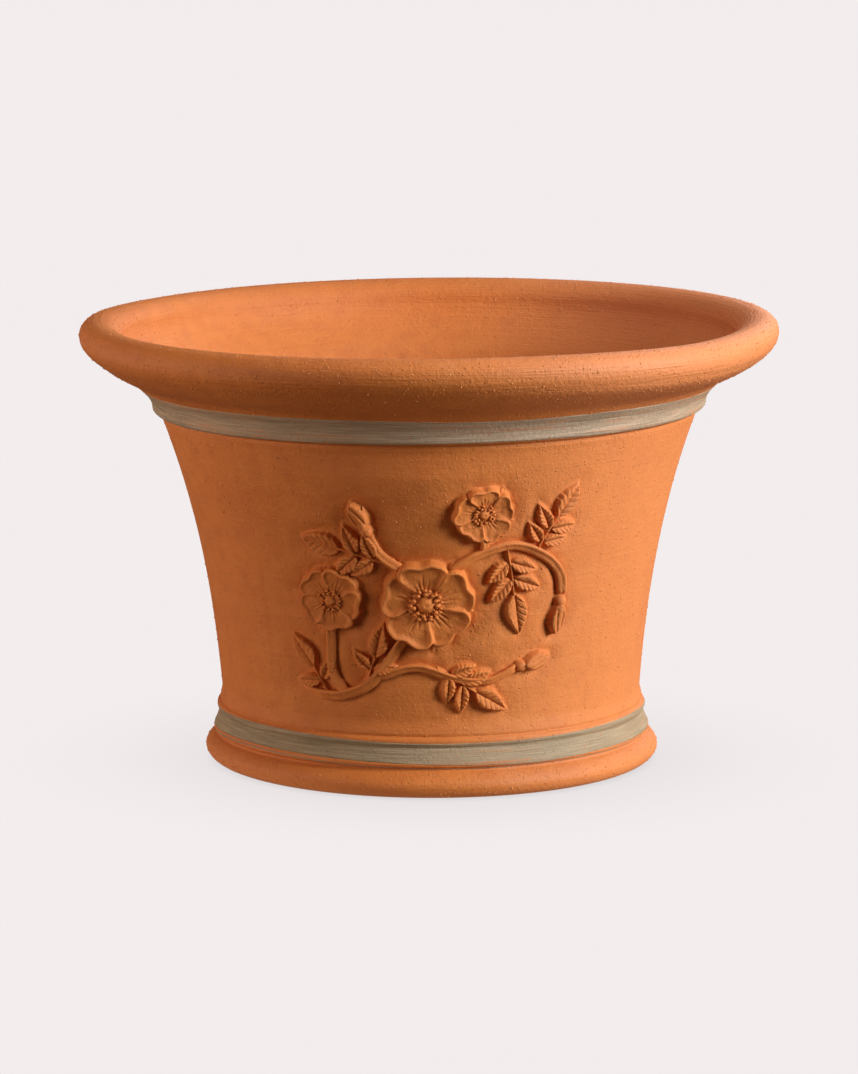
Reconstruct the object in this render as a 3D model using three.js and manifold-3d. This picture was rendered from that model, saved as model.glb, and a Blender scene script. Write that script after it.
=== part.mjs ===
// Hand-thrown terracotta planter: a bell-shaped pot with a rolled rim, two bands of slip,
// and a spray of wild roses laid on the front of its wall as separate sprigs of clay.
// Millimetres, +Z up, origin on the floor at the middle of the foot; the roses face -Y.
import * as THREE from 'three';
import { mergeVertices } from 'three/addons/utils/BufferGeometryUtils.js';
import Module from 'manifold-3d';

const wasm = await Module();
wasm.setup();

// The pot's outline, turned about Z: [radius, height] of each edge, from the sole up and over the rim
const SOLE_EDGE = [124.5, 0];
const FOOT_WIDEST = [130.9, 7.5];
const LIP_BASE = [126, 18.1];
const LIP_NOSE = [126.4, 21.5];
const GROOVE = [122.9, 29.4];
const LOWER_BEAD_TOP = [123, 36.2];
const WALL_FOOT = [120.8, 42];
const WALL_TOP = [152.3, 199];
const UPPER_BEAD_UNDER = [156.9, 204.8];
const UPPER_BEAD_NOSE = [158.8, 208];
const BAND_TOP = [166.5, 219.8];
const NECK = [177, 226.3];
const ROLL_UNDER = [191.4, 234.5];
const ROLL_WIDEST = [200.3, 248.3];
const ROLL_CREST = [190, 257];
const MOUTH_EDGE = [176, 245.3];

// How the wall flares above its foot: linear, square and cubic shares, in millimetres
const FLARE = [12.5, 12.8, 6.2];
const WALL_THICKNESS = 10;
const FLOOR_THICKNESS = 13;
const DRAIN_RADIUS = 14;
const TURN_STEPS = 60;

// The slip, and how the sprigs are bedded; 'across' is measured on a wall of RELIEF_RADIUS
const COAT = 0.4;
const GAP = 0.3;
const BED = 3;
const EDGE = 0.9;
const LEAF_PROUD = 2.2;
const RIB_RADIUS = 1.3;
const RELIEF_RADIUS = 127;

// Where each sprig lies: millimetres across the front of the wall, and height above the floor
const ROSES = [
  { name: 'rose_large', across: -2, height: 112, size: 27, turn: 95 },
  { name: 'rose_medium', across: -55, height: 112, size: 19.5, turn: 62 },
  { name: 'rose_small', across: 27, height: 164, size: 18, turn: 20 },
];
const BUDS = [
  { name: 'bud_top', across: -31, height: 152, size: 23, turn: 112 },
  { name: 'bud_right', across: 76, height: 112, size: 23, turn: -98 },
  { name: 'bud_low', across: 50, height: 73, size: 22, turn: 14 },
];
const LEAVES = [
  { name: 'leaf_spray_top', across: -22, height: 135, size: 26, turn: 163, pairs: 2 },
  { name: 'leaf_spray_low', across: 5, height: 73, size: 23, turn: -32, pairs: 2 },
  { name: 'leaf_spray_hanging', across: 41, height: 142, size: 26, turn: -78, pairs: 2 },
  { name: 'leaf_spray_arch', across: 57, height: 139, size: 23, turn: 64, pairs: 2 },
  { name: 'leaf_spray_end', across: -61, height: 58, size: 24, turn: 120, pairs: 1 },
  { name: 'leaf_spray_inner', across: -36, height: 66, size: 22, turn: 72, pairs: 1 },
];
const STEMS = [
  { name: 'branch_lower', radius: 2.4, route: [[-80, 61], [-66, 56], [-50, 57], [-32, 67], [-12, 94]] },
  { name: 'branch_upper', radius: 2.2, route: [[10, 130], [26, 140], [44, 144], [62, 137], [73, 125], [76, 112]] },
  { name: 'stalk_medium_rose', radius: 2, route: [[-48, 58], [-57, 70], [-57, 98]] },
  { name: 'stalk_small_rose', radius: 2, route: [[28, 139], [30, 149], [27, 159]] },
  { name: 'stalk_top_bud', radius: 1.8, route: [[-14, 132], [-25, 140], [-31, 152]] },
  { name: 'stalk_low_bud', radius: 1.8, route: [[-28, 70], [-8, 74], [16, 67], [34, 66], [50, 73]] },
];

const terracotta = new THREE.MeshStandardMaterial({ color: '#c46a33', roughness: 0.85, metalness: 0 });
const sprigClay = new THREE.MeshStandardMaterial({ color: '#bd6530', roughness: 0.85, metalness: 0 });
const slip = new THREE.MeshStandardMaterial({ color: '#8f806b', roughness: 0.8, metalness: 0 });

const planter = new THREE.Group();
planter.name = 'terracotta_planter';

// ---- Solids from three.js geometry, and back ----

function solidOf(geometry) {
  const bare = geometry.clone();
  bare.deleteAttribute('normal');
  bare.deleteAttribute('uv');
  const merged = mergeVertices(bare, 1e-4);
  const corners = [];
  for (let i = 0; i < merged.index.count; i += 3) {
    const [a, b, c] = [0, 1, 2].map((k) => merged.index.getX(i + k));
    if (a !== b && b !== c && c !== a) corners.push(a, b, c);
  }
  return new wasm.Manifold(new wasm.Mesh({
    numProp: 3,
    vertProperties: new Float32Array(merged.attributes.position.array),
    triVerts: new Uint32Array(corners),
  }));
}

function addPiece(name, solid, material) {
  const { vertProperties, triVerts } = solid.getMesh();
  const geometry = new THREE.BufferGeometry();
  geometry.setAttribute('position', new THREE.BufferAttribute(vertProperties, 3));
  geometry.setIndex(new THREE.BufferAttribute(triVerts, 1));
  geometry.computeVertexNormals();
  const mesh = new THREE.Mesh(geometry, material);
  mesh.name = name;
  planter.add(mesh);
}

function union(solids) {
  return solids.reduce((sum, solid) => sum.add(solid));
}

function largestBody(solid) {
  return solid.decompose().reduce((best, body) => (body.volume() > best.volume() ? body : best));
}

// ---- The thrown pot ----

// The bell of the wall: nearly upright above the lower bead, and flaring more and more to the neck
function wallRadius(height) {
  const s = (height - WALL_FOOT[1]) / (WALL_TOP[1] - WALL_FOOT[1]);
  return WALL_FOOT[0] + FLARE[0] * s + FLARE[1] * s ** 2 + FLARE[2] * s ** 3;
}

function wallSlope(height) {
  return (wallRadius(height + 1) - wallRadius(height - 1)) / 2;
}

function wallPoints(steps) {
  const points = [];
  for (let i = 0; i <= steps; i++) {
    const height = THREE.MathUtils.lerp(WALL_FOOT[1], WALL_TOP[1], i / steps);
    points.push(new THREE.Vector2(wallRadius(height), height));
  }
  return points;
}

// Lower band: from the foot, over a small lip and a hollow, to the groove under the lower bead
const BAND_STEPS = 2;
const lowerBand = new THREE.Path();
lowerBand.moveTo(...LIP_BASE);
lowerBand.quadraticCurveTo(126.7, 19.9, ...LIP_NOSE);
lowerBand.quadraticCurveTo(123.9, 25.7, ...GROOVE);

// Upper band: round the nose of the upper bead and up the hollow to the neck
const upperBand = new THREE.Path();
upperBand.moveTo(...UPPER_BEAD_UNDER);
upperBand.quadraticCurveTo(159.2, 206.4, ...UPPER_BEAD_NOSE);
upperBand.quadraticCurveTo(160, 214.2, ...BAND_TOP);

function outsideProfile() {
  const foot = new THREE.Path();
  foot.moveTo(DRAIN_RADIUS, 0);
  foot.lineTo(...SOLE_EDGE);
  foot.absellipse(
    SOLE_EDGE[0], FOOT_WIDEST[1], FOOT_WIDEST[0] - SOLE_EDGE[0], FOOT_WIDEST[1], -Math.PI / 2, 0);
  foot.quadraticCurveTo(130.3, 12.5, ...LIP_BASE);
  const bead = new THREE.Path();
  bead.moveTo(...GROOVE);
  bead.quadraticCurveTo(125, 33, ...LOWER_BEAD_TOP);
  bead.lineTo(...WALL_FOOT);
  const neck = new THREE.Path();
  neck.moveTo(...BAND_TOP);
  neck.quadraticCurveTo(172, 224.7, ...NECK);
  neck.lineTo(...ROLL_UNDER);
  const roll = new THREE.Path();
  const width = ROLL_WIDEST[0] - ROLL_CREST[0];
  roll.absellipse(ROLL_CREST[0], ROLL_WIDEST[1], width, ROLL_WIDEST[1] - ROLL_UNDER[1], -1.2, 0);
  roll.absellipse(
    ROLL_CREST[0], ROLL_WIDEST[1], width, ROLL_CREST[1] - ROLL_WIDEST[1], 0, Math.PI / 2);
  roll.absellipse(
    ROLL_CREST[0], MOUTH_EDGE[1], ROLL_CREST[0] - MOUTH_EDGE[0],
    ROLL_CREST[1] - MOUTH_EDGE[1], Math.PI / 2, Math.PI);
  return [
    ...foot.getPoints(2), ...lowerBand.getPoints(BAND_STEPS), ...bead.getPoints(2), ...wallPoints(7),
    ...upperBand.getPoints(BAND_STEPS), ...neck.getPoints(2), ...roll.getPoints(2),
  ];
}

// Inside, the wall keeps its thickness down to a rounded corner and a flat floor with a drain hole
function insideProfile() {
  const cavity = new THREE.Path();
  cavity.moveTo(MOUTH_EDGE[0] - 5.5, ROLL_UNDER[1]);
  cavity.lineTo(NECK[0] - 1.5 * WALL_THICKNESS, NECK[1]);
  cavity.lineTo(UPPER_BEAD_NOSE[0] - WALL_THICKNESS, UPPER_BEAD_NOSE[1] + 4);
  for (const height of [WALL_TOP[1], 155, 100, WALL_FOOT[1]]) {
    cavity.lineTo(wallRadius(height) - WALL_THICKNESS, height);
  }
  cavity.lineTo(WALL_FOOT[0] - WALL_THICKNESS - 0.8, FLOOR_THICKNESS + 16);
  cavity.quadraticCurveTo(WALL_FOOT[0] - WALL_THICKNESS - 2, FLOOR_THICKNESS, 92, FLOOR_THICKNESS);
  cavity.lineTo(DRAIN_RADIUS, FLOOR_THICKNESS);
  cavity.lineTo(DRAIN_RADIUS, 0);
  return cavity.getPoints(2);
}

function turned(points) {
  const distinct = points.filter((point, i) => i === 0 || point.distanceTo(points[i - 1]) > 0.02);
  return solidOf(new THREE.LatheGeometry(distinct, TURN_STEPS).rotateX(Math.PI / 2));
}

// A ring along a stretch of the profile, between two depths under its surface
function ringAlong(path, shallow, deep, longer) {
  const outer = [];
  const inner = [];
  const last = 2 * BAND_STEPS;
  for (let i = 0; i <= last; i++) {
    const point = path.getPoint(i / last);
    const along = path.getTangent(i / last);
    if (i === 0) point.addScaledVector(along, -longer);
    if (i === last) point.addScaledVector(along, longer);
    const inward = new THREE.Vector2(-along.y, along.x);
    outer.push(point.clone().addScaledVector(inward, shallow));
    inner.unshift(point.clone().addScaledVector(inward, deep));
  }
  return turned([...outer, ...inner, outer[0].clone()]);
}

const potBlank = turned([...outsideProfile(), ...insideProfile()]);
const pot = [upperBand, lowerBand].reduce(
  (blank, band) => blank.subtract(ringAlong(band, -2, COAT + GAP, GAP)), potBlank);
addPiece('pot_body', pot, terracotta);
addPiece('upper_slip_band', ringAlong(upperBand, 0, COAT, 0), slip);
addPiece('lower_slip_band', ringAlong(lowerBand, 0, COAT, 0), slip);

// ---- Sprigs: each is shaped flat, bedded in the wall, and trimmed to lie on it ----

function onWall(across, height) {
  const angle = across / RELIEF_RADIUS;
  const radius = wallRadius(height);
  return new THREE.Vector3(radius * Math.sin(angle), -radius * Math.cos(angle), height);
}

// A frame on the wall: x along the turned direction, z straight out of the wall
function wallFrame(across, height, turn) {
  const angle = across / RELIEF_RADIUS;
  const lean = Math.atan(wallSlope(height));
  const radial = new THREE.Vector3(Math.sin(angle), -Math.cos(angle), 0);
  const right = new THREE.Vector3(Math.cos(angle), Math.sin(angle), 0);
  const up = radial.clone().multiplyScalar(Math.sin(lean)).setZ(Math.cos(lean));
  const out = right.clone().cross(up);
  const frame = new THREE.Matrix4().makeBasis(right, up, out).setPosition(onWall(across, height));
  return frame.multiply(new THREE.Matrix4().makeRotationZ(turn));
}

// The frame of a spot that lies x along and y beside the sprig's own start, following the wall
function spotOn(sprig, x, y, turn) {
  const heading = THREE.MathUtils.degToRad(sprig.turn);
  const right = x * Math.cos(heading) - y * Math.sin(heading);
  const up = x * Math.sin(heading) + y * Math.cos(heading);
  const across = sprig.across + (right * RELIEF_RADIUS) / wallRadius(sprig.height);
  const height = sprig.height + up * Math.cos(Math.atan(wallSlope(sprig.height)));
  return wallFrame(across, height, heading + turn);
}

// A flat slab of clay with a softened edge, standing proud of the wall
function slab(shape, proud, grow) {
  return new THREE.ExtrudeGeometry(shape, {
    depth: BED + proud - 2 * EDGE + grow,
    curveSegments: 4,
    bevelThickness: EDGE,
    bevelSize: EDGE,
    bevelOffset: grow - EDGE,
    bevelSegments: 1,
  }).translate(0, 0, EDGE - BED);
}

function petalShape(size) {
  const shape = new THREE.Shape();
  const start = -0.45 * size;
  shape.moveTo(start, -0.08 * size);
  shape.bezierCurveTo(start + 0.3 * size, -0.5 * size, 0.25 * size, -0.66 * size, 0.42 * size, -0.3 * size);
  shape.quadraticCurveTo(0.49 * size, -0.1 * size, 0.38 * size, 0);
  shape.quadraticCurveTo(0.49 * size, 0.1 * size, 0.42 * size, 0.3 * size);
  shape.bezierCurveTo(0.25 * size, 0.66 * size, start + 0.3 * size, 0.5 * size, start, 0.08 * size);
  return shape;
}

// Five overlapping petals round a domed heart
function rose(sprig, grow) {
  const { size } = sprig;
  const proud = 1.6 + size * 0.06;
  const parts = [];
  for (let i = 0; i < 5; i++) {
    const turn = (i * 2 * Math.PI) / 5;
    const middle = 0.56 * size;
    const petal = slab(petalShape(size), proud, grow).rotateX(0.09).rotateY(-0.05);
    parts.push(petal.applyMatrix4(spotOn(sprig, middle * Math.cos(turn), middle * Math.sin(turn), turn)));
  }
  const heart = new THREE.SphereGeometry(0.29 * size + grow, 14, 8).scale(1, 1, 0.64);
  parts.push(heart.applyMatrix4(spotOn(sprig, 0, 0, 0)));
  return union(parts.map(solidOf));
}

// A furled bud on its round hip, with two sepals standing off its sides
function bud(sprig, grow) {
  const { size } = sprig;
  const outline = [];
  for (let i = 0; i <= 9; i++) {
    const t = i / 9;
    const hip = 0.15 * Math.sqrt(Math.max(0, 1 - ((t - 0.13) / 0.15) ** 2));
    const furled = t < 0.2 ? 0 : 0.27 * Math.sin(Math.PI * ((t - 0.2) / 0.8) ** 0.8) ** 0.7;
    const width = i === 0 || i === 9 ? 0 : (Math.max(hip, furled, 0.08) + grow / size) * size;
    outline.push(new THREE.Vector2(width, t * (size + 2 * grow) - grow));
  }
  const parts = [new THREE.LatheGeometry(outline, 12).rotateZ(-Math.PI / 2).scale(1, 1, 0.8)];
  for (const side of [-1, 1]) {
    const sepal = new THREE.ConeGeometry(0.1 * size + grow, 0.72 * size + 3 * grow, 6);
    parts.push(sepal.rotateZ(-Math.PI / 2 + side * 0.36).translate(0.52 * size, side * 0.2 * size, 0.6));
  }
  const frame = spotOn(sprig, 0, 0, 0);
  return union(parts.map((part) => solidOf(part.applyMatrix4(frame))));
}

function leafletShape(length, width) {
  const shape = new THREE.Shape();
  shape.moveTo(0, 0);
  shape.bezierCurveTo(0.12 * length, 0.62 * width, 0.62 * length, 0.62 * width, length, 0);
  shape.bezierCurveTo(0.62 * length, -0.62 * width, 0.12 * length, -0.62 * width, 0, 0);
  return shape;
}

// A midrib with one leaflet at its tip and pairs of smaller ones along it
function leafSpray(sprig, grow) {
  const { size, pairs } = sprig;
  const reach = size * (0.3 + 0.38 * pairs);
  const parts = [];
  const leaflet = (x, y, turn, length) => {
    const shape = leafletShape(length, 0.56 * length);
    const blade = slab(shape, LEAF_PROUD, grow).translate(-length / 2, 0, 0);
    const middle = length / 2;
    parts.push(blade.applyMatrix4(
      spotOn(sprig, x + middle * Math.cos(turn), y + middle * Math.sin(turn), turn)));
  };
  leaflet(reach - 1, 0, 0, size);
  for (let i = 0; i < pairs; i++) {
    const x = size * (0.3 + 0.38 * i);
    for (const side of [-1, 1]) leaflet(x, side * 0.4, side * 1.0, size * (0.7 + 0.06 * i));
  }
  const rib = [0, 0.33, 0.66, 1].map((t) => {
    const spot = spotOn(sprig, t * reach, 0, 0);
    return new THREE.Vector3().setFromMatrixPosition(spot);
  });
  parts.push(tube(rib, RIB_RADIUS + grow, 8));
  return union(parts.map(solidOf));
}

function tube(points, radius, steps) {
  const section = new THREE.Shape().absarc(0, 0, radius, 0, 2 * Math.PI);
  return new THREE.ExtrudeGeometry(section, {
    steps,
    curveSegments: 4,
    bevelEnabled: false,
    extrudePath: new THREE.CatmullRomCurve3(points),
  });
}

// A rolled coil of clay laid along its route
function stem({ route, radius }, grow) {
  const points = route.map(([across, height]) => onWall(across, height));
  lengthen(points[0], points[1], grow);
  lengthen(points.at(-1), points.at(-2), grow);
  return solidOf(tube(points, radius + grow, 4 * (route.length - 1)));
}

function lengthen(end, next, extra) {
  end.addScaledVector(end.clone().sub(next).normalize(), extra);
}

// The sprigs are laid in order, and each is trimmed clear of the wall and of those laid before it
const wallGuard = turned([
  new THREE.Vector2(0, WALL_FOOT[1]),
  ...wallPoints(7).map((point) => new THREE.Vector2(point.x + GAP, point.y)),
  new THREE.Vector2(0, WALL_TOP[1]),
]);
const laid = [];

function lay(sprig, make) {
  const trimmed = laid.reduce((solid, guard) => solid.subtract(guard), make(sprig, 0).subtract(wallGuard));
  addPiece(sprig.name, largestBody(trimmed), sprigClay);
  laid.push(make(sprig, GAP));
}

ROSES.forEach((sprig) => lay(sprig, rose));
BUDS.forEach((sprig) => lay(sprig, bud));
STEMS.forEach((sprig) => lay(sprig, stem));
LEAVES.forEach((sprig) => lay(sprig, leafSpray));

export default planter;
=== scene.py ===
import math
from collections import namedtuple

import bpy
import numpy as np
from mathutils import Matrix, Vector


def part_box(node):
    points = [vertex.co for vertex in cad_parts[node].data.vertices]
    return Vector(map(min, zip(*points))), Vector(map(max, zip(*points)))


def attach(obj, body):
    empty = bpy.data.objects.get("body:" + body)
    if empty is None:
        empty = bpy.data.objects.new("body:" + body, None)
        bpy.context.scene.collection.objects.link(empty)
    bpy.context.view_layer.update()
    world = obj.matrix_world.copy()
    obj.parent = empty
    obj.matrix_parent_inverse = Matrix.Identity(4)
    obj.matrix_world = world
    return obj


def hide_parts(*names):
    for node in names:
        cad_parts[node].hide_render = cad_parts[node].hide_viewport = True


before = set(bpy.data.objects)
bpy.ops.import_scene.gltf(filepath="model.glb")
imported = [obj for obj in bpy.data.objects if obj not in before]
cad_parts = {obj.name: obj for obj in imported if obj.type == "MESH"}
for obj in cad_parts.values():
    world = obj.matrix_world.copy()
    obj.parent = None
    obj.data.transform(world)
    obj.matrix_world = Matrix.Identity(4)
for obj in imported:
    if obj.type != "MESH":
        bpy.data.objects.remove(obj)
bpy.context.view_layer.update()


# ---- Pot body ----
# One throw of coarse red clay: a foot, a bead, a bell-shaped wall, a second bead, a neck and a
# rim that is rolled over by hand. It is turned on the wheel, dried slowly and fired unglazed, so
# the skin is matt and sandy and keeps the rings that the fingers and the sponge left in it.

# In millimetres. WALL_FOOT is a (radius, height), FLARE how much the wall opens by its height,
# its height squared and cubed, and DRAIN_ROUND how far the hole's two edges are rounded.
MM = 0.001
_, pot_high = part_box("pot_body")
RIM_RADIUS = pot_high.x / MM
RIM_HEIGHT = pot_high.z / MM
ROLL_FROM = 222.0
ROLL_BLEND = 14.0
ROLL_WIDEST = 248.3
ROLL_ROUND = 10.3
LIP_HEIGHT = 244.3
LIP_ROUND = 14.0
WALL_FOOT = (120.8, 42.0)
WALL_TOP = 199.0
FLARE = (12.5, 12.8, 6.2)
WALL_THICKNESS = 10.0
FLOOR_THICKNESS = 13.0
DRAIN_RADIUS = 14.0
DRAIN_ROUND = (1.5, 0.8)


def bends(start, *curves):
    """Points of curves end to end, without the last; each heads for a corner, then for its end."""
    points = []
    for corner, end, steps in curves:
        t = np.linspace(0, 1, steps, endpoint=False)[:, None]
        a, b, c = (np.array(point) for point in (start, corner, end))
        points.append((1 - t) ** 2 * a + 2 * t * (1 - t) * b + t ** 2 * c)
        start = end
    return np.vstack(points)


def arc(centre, radii, start, end, steps):
    """Points of part of an ellipse, in degrees from straight outwards, without its end."""
    a = np.radians(np.linspace(start, end, steps, endpoint=False))
    return np.column_stack([centre[0] + radii[0] * np.cos(a), centre[1] + radii[1] * np.sin(a)])


def wall_radius(height):
    """The wall's outer radius at a height: a bell that opens faster towards the neck."""
    s = (height - WALL_FOOT[1]) / (WALL_TOP - WALL_FOOT[1])
    return WALL_FOOT[0] + FLARE[0] * s + FLARE[1] * s ** 2 + FLARE[2] * s ** 3


def wall(start, end, inset, steps):
    """Points up or down the wall between two heights, set in from its outside, without the end."""
    heights = np.linspace(start, end, steps, endpoint=False)
    return np.column_stack([wall_radius(np.maximum(heights, WALL_FOOT[1])) - inset, heights])


def ridge(offset, width):
    """1 where the offset is nought, fading to 0 on both sides of it."""
    return np.exp(-((offset / width) ** 2))


def settle(points):
    """The pot as it came off the wheel: rim low on one side and wavy, foot off centre."""
    x, y, z = points[..., 0], points[..., 1], points[..., 2]
    side = np.degrees(np.arctan2(x, -y))
    lift = np.clip(z / RIM_HEIGHT, 0, 1)
    # Above its middle the pot leans, which leaves the rim some 4 mm lower on one side
    above = np.clip((z - 90) / 110, 0, 1)
    sag = above ** 2 * (3 - 2 * above) * (2.2 * x / RIM_RADIUS - 1.1)
    # The roll rises and dips where it was lifted, and is thumbed fuller on its lower face
    wave = 1.6 * ridge(side + 92, 20) - 2.2 * ridge(side - 54, 25)
    on_roll = np.clip((z - ROLL_FROM) / ROLL_BLEND, 0, 1)
    outer = np.clip((np.hypot(x, y) - 176) / 6, 0, 1)
    full_roll = ridge(side - 38, 28) * ridge(z - 234.5, 4.5) * outer
    swell = 1 + 0.0008 * lift * np.cos(np.radians(2 * side + 150)) + 0.009 * full_roll
    off_centre = 1.6 * (1 - lift) ** 2
    raised = np.maximum(z + sag + on_roll * wave, 0) * (z > 0)
    return np.stack([x * swell + off_centre, y * swell, raised], -1)


def grid_mesh(name, points, close_across):
    """A smooth quad mesh over rows of points in millimetres; each row closes on itself."""
    rows, columns = points.shape[:2]
    index = np.arange(rows * columns).reshape(rows, columns)
    if close_across:
        index = np.vstack([index, index[:1]])
    here, after = index[:-1], index[1:]
    faces = np.stack([here, np.roll(here, -1, 1), np.roll(after, -1, 1), after], -1)
    mesh = bpy.data.meshes.new(name)
    mesh.from_pydata((points.reshape(-1, 3) * MM).tolist(), [], faces.reshape(-1, 4).tolist())
    mesh.shade_smooth()
    return mesh


def turned(profile, angle):
    """Rows of points round Z for a profile of (radius, height); angle 0 is the front."""
    x = profile[:, :1] * np.sin(angle)
    y = -profile[:, :1] * np.cos(angle)
    return np.stack([x, y, np.broadcast_to(profile[:, 1:], x.shape)], -1)


def put_in(name, data):
    """A new object in the scene, at the origin."""
    item = bpy.data.objects.new(name, data)
    bpy.context.scene.collection.objects.link(item)
    return item


def add_piece(name, mesh, material, slot, *nodes):
    """A finished piece of the object, riding on the one body and standing for its CAD nodes."""
    piece = put_in(name, mesh)
    mesh.materials.clear()
    mesh.materials.append(material)
    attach(piece, "root")
    if nodes:
        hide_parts(*nodes)


# The outline that the turning tools leave, in (radius, height), from the drain hole outwards
roll_middle = RIM_RADIUS - ROLL_ROUND
outside = np.vstack([
    # The foot: a flat base, rounded up at its edge and nicked where the tool came off it
    np.linspace((DRAIN_RADIUS + DRAIN_ROUND[1], 0), (122.6, 0), 4, endpoint=False),
    bends((122.6, 0), ((129.2, 1.0), (130.7, 6.4), 9), ((131.2, 8.6), (129.9, 10.6), 4),
          ((128.4, 12.9), (126.2, 14.6), 5), ((124.4, 15.4), (124.2, 16.4), 4),
          ((124.3, 17.2), (125.4, 17.7), 4), ((126.2, 18.3), (125.8, 19.6), 4)),
    # The hollow over the foot, and the bead over that
    bends((125.8, 19.6), ((124.0, 22.5), (122.9, 26.8), 10), ((121.4, 28.0), (122.4, 28.9), 5),
          ((125.0, 31.7), (122.9, 33.6), 9), ((121.2, 34.4), (122.1, 35.3), 5),
          ((121.6, 38.4), (120.8, 41.4), 5)),
    # The bell, up to the step under the neck
    wall(WALL_FOOT[1], 198.2, 0, 110),
    wall(198.2, 203.5, 0, 4),
    # The step, the neck and the rim folded outwards from it, over its top to the lip inside
    bends((153.6, 203.5), ((153.5, 204.4), (155.0, 204.5), 4), ((158.8, 205.1), (158.8, 208.8), 9),
          ((159.4, 213.8), (165.4, 219.0), 9), ((170.6, 223.9), (176.6, 226.2), 6),
          ((184.2, 229.9), (191.7, 235.6), 6), ((194.9, 237.7), (197.7, 241.0), 6),
          ((RIM_RADIUS, 244.0), (RIM_RADIUS, ROLL_WIDEST), 6)),
    arc((roll_middle, ROLL_WIDEST), (ROLL_ROUND, RIM_HEIGHT - ROLL_WIDEST), 0, 90, 10),
    arc((roll_middle, LIP_HEIGHT), (LIP_ROUND, RIM_HEIGHT - LIP_HEIGHT), 90, 180, 10),
])
drain_rim = DRAIN_RADIUS + DRAIN_ROUND[0]
drain_top = FLOOR_THICKNESS - DRAIN_ROUND[0]
inside = np.vstack([
    bends((176.0, LIP_HEIGHT), ((174.6, 238.5), (168.0, 231.0), 4),
          ((152.0, 219.0), (143.0, 200.0), 6)),
    wall(WALL_TOP, 34.0, WALL_THICKNESS, 20),
    bends((110.8, 33.0), ((110.0, FLOOR_THICKNESS), (90.0, FLOOR_THICKNESS), 8)),
    np.linspace((90.0, FLOOR_THICKNESS), (drain_rim, FLOOR_THICKNESS), 4, endpoint=False),
    bends((drain_rim, FLOOR_THICKNESS),
          ((DRAIN_RADIUS, FLOOR_THICKNESS), (DRAIN_RADIUS, drain_top), 3)),
    np.linspace((DRAIN_RADIUS, drain_top), (DRAIN_RADIUS, DRAIN_ROUND[1]), 2, endpoint=False),
    bends((DRAIN_RADIUS, DRAIN_ROUND[1]),
          ((DRAIN_RADIUS, 0), (DRAIN_RADIUS + DRAIN_ROUND[1], 0), 2)),
])

# The fingers leave soft rings up the inside; the roll is smoothed over them
ring_rows = inside[:, 1]
rings = 0.55 * np.sin(ring_rows / 2.7) + 0.3 * np.sin(ring_rows / 1.55 + 1)
inside[:, 0] += np.clip((ring_rows - 25) / 40, 0, 1) * rings * (ring_rows < 240)

# The front, where the relief goes, has a finer grid than the rest
TURN_STEPS = 330
ticks = np.linspace(-180, 180, 1441)
fineness = np.cumsum(0.2 + 1 / (1 + np.exp((np.abs(ticks) - 50) / 4)))
turns = np.radians(np.interp(np.arange(TURN_STEPS) / TURN_STEPS, fineness / fineness[-1], ticks))
pot_points = settle(turned(np.vstack([outside, inside]), turns))
pot_mesh = grid_mesh("pot_body_skin", pot_points, close_across=True)


def linear(colour):
    """An sRGB hex colour as linear RGBA."""
    channels = [int(colour[i:i + 2], 16) / 255 for i in (1, 3, 5)]
    return [c / 12.92 if c <= 0.04045 else ((c + 0.055) / 1.055) ** 2.4 for c in channels] + [1.0]


def add(tree, kind, inputs=(), **settings):
    """A node with its settings; an input is a value, a node's output, or a node for its first."""
    node = tree.nodes.new(kind)
    for name, value in settings.items():
        setattr(node, name, value)
    for socket, value in dict(inputs).items():
        if isinstance(value, bpy.types.Node):
            value = value.outputs[0]
        if isinstance(value, bpy.types.NodeSocket):
            tree.links.new(value, node.inputs[socket])
        else:
            node.inputs[socket].default_value = value
    return node


def new_material(name):
    """A material with an empty tree, and its object coordinates in metres."""
    material = bpy.data.materials.new(name)
    material.use_nodes = True
    material.node_tree.nodes.clear()
    tree = material.node_tree
    return material, tree, add(tree, "ShaderNodeTexCoord").outputs["Object"]


def wheel_lines(tree, place, spacing):
    """Noise in fine level lines round Z, some millimetres apart, as a tool leaves on the wheel."""
    axis = add(tree, "ShaderNodeVectorMath", {0: place, 1: (1, 1, 0)}, operation="MULTIPLY")
    radius = add(tree, "ShaderNodeVectorMath", {0: axis}, operation="LENGTH")
    parts = add(tree, "ShaderNodeSeparateXYZ", {0: place})
    across = add(tree, "ShaderNodeMath", {0: parts.outputs["X"], 1: 0.02}, operation="MULTIPLY")
    around = add(tree, "ShaderNodeMath", {0: parts.outputs["Y"], 1: 0.02}, operation="MULTIPLY")
    vector = add(tree, "ShaderNodeCombineXYZ", {
        0: radius.outputs["Value"], 1: parts.outputs["Z"], 2: across})
    return add(tree, "ShaderNodeTexNoise", {
        "Vector": vector, "W": around, "Scale": 1 / (spacing * MM), "Detail": 3.0,
        "Roughness": 0.6}, noise_dimensions="4D")


def grains(tree, place, spacing, share, size):
    """A mask of round grains: one in a share of a pattern's cells, which are spacing mm wide."""
    cells = add(tree, "ShaderNodeTexVoronoi", {"Vector": place, "Scale": 1 / (spacing * MM)})
    pick = add(tree, "ShaderNodeSeparateColor", {0: cells.outputs["Color"]})
    chosen = add(tree, "ShaderNodeMath", {0: pick, 1: share}, operation="LESS_THAN")
    return add(tree, "ShaderNodeMapRange", {
        "Value": cells.outputs["Distance"], "From Min": size, "From Max": size * 0.45,
        "To Max": chosen})


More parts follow.
